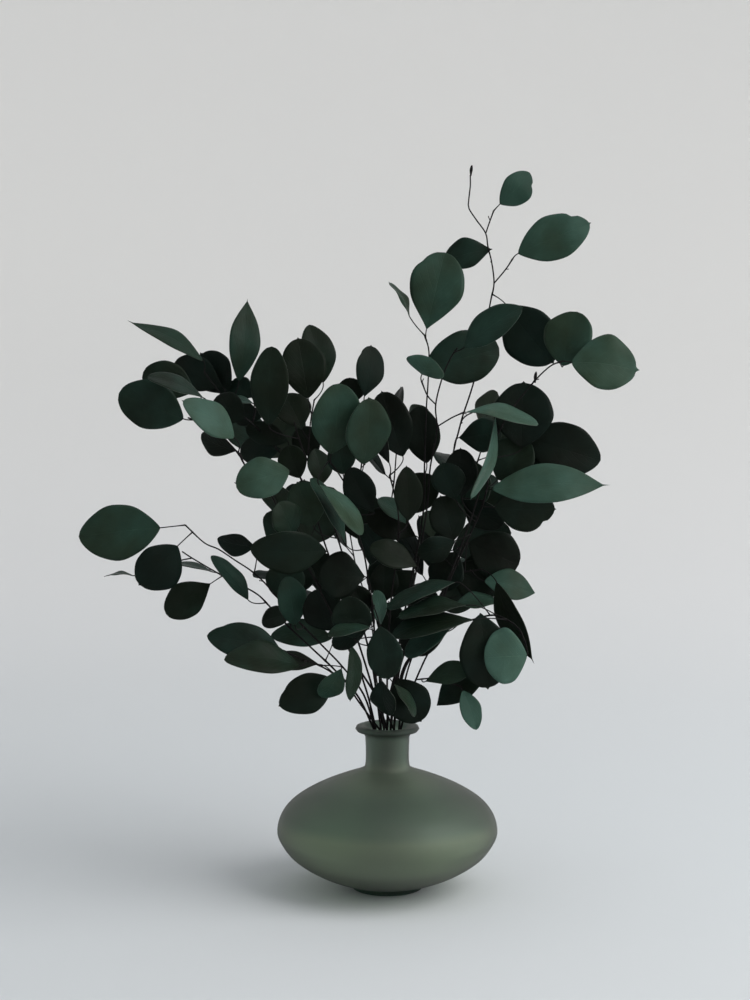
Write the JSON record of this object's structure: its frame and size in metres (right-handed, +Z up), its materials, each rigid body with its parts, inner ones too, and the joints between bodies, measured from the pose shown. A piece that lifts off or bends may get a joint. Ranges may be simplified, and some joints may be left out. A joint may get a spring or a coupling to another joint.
{
  "type": "eucalyptus branches in a bottle",
  "caption": "Preserved silver-dollar eucalyptus branches standing in a flat-bodied frosted green glass bottle.",
  "frame": {"origin": "centre of the bottle's foot, on the surface it stands on", "axes": "+Z up along the bottle's axis; the front that the branches face is towards -Y, +X to the right"},
  "size_m": [0.499, 0.3271, 0.6657],
  "materials": {
    "leaf": "waxy dark green leaf, satin",
    "stem": "dark brown bark, matt",
    "glass": "frosted sage-green glass"
  },
  "bodies": {
    "root": {"bottle": "glass", "branch_left_high": "leaf", "branch_left_low": "leaf", "branch_low_left": "leaf", "branch_upper_left_low": "leaf", "branch_upper_left_mid": "leaf", "branch_upper_left_top": "leaf", "branch_centre_left": "leaf", "branch_centre": "leaf", "branch_tall_left": "leaf", "branch_tall_mid": "leaf", "branch_tall_right": "leaf", "branch_right_high": "leaf", "branch_right_mid": "leaf", "branch_right_low": "leaf", "branch_low_right": "leaf", "branch_low_front": "leaf", "branch_back_right": "leaf", "branch_back_middle": "leaf", "branch_back_left": "leaf"}
  },
  "joints": []
}
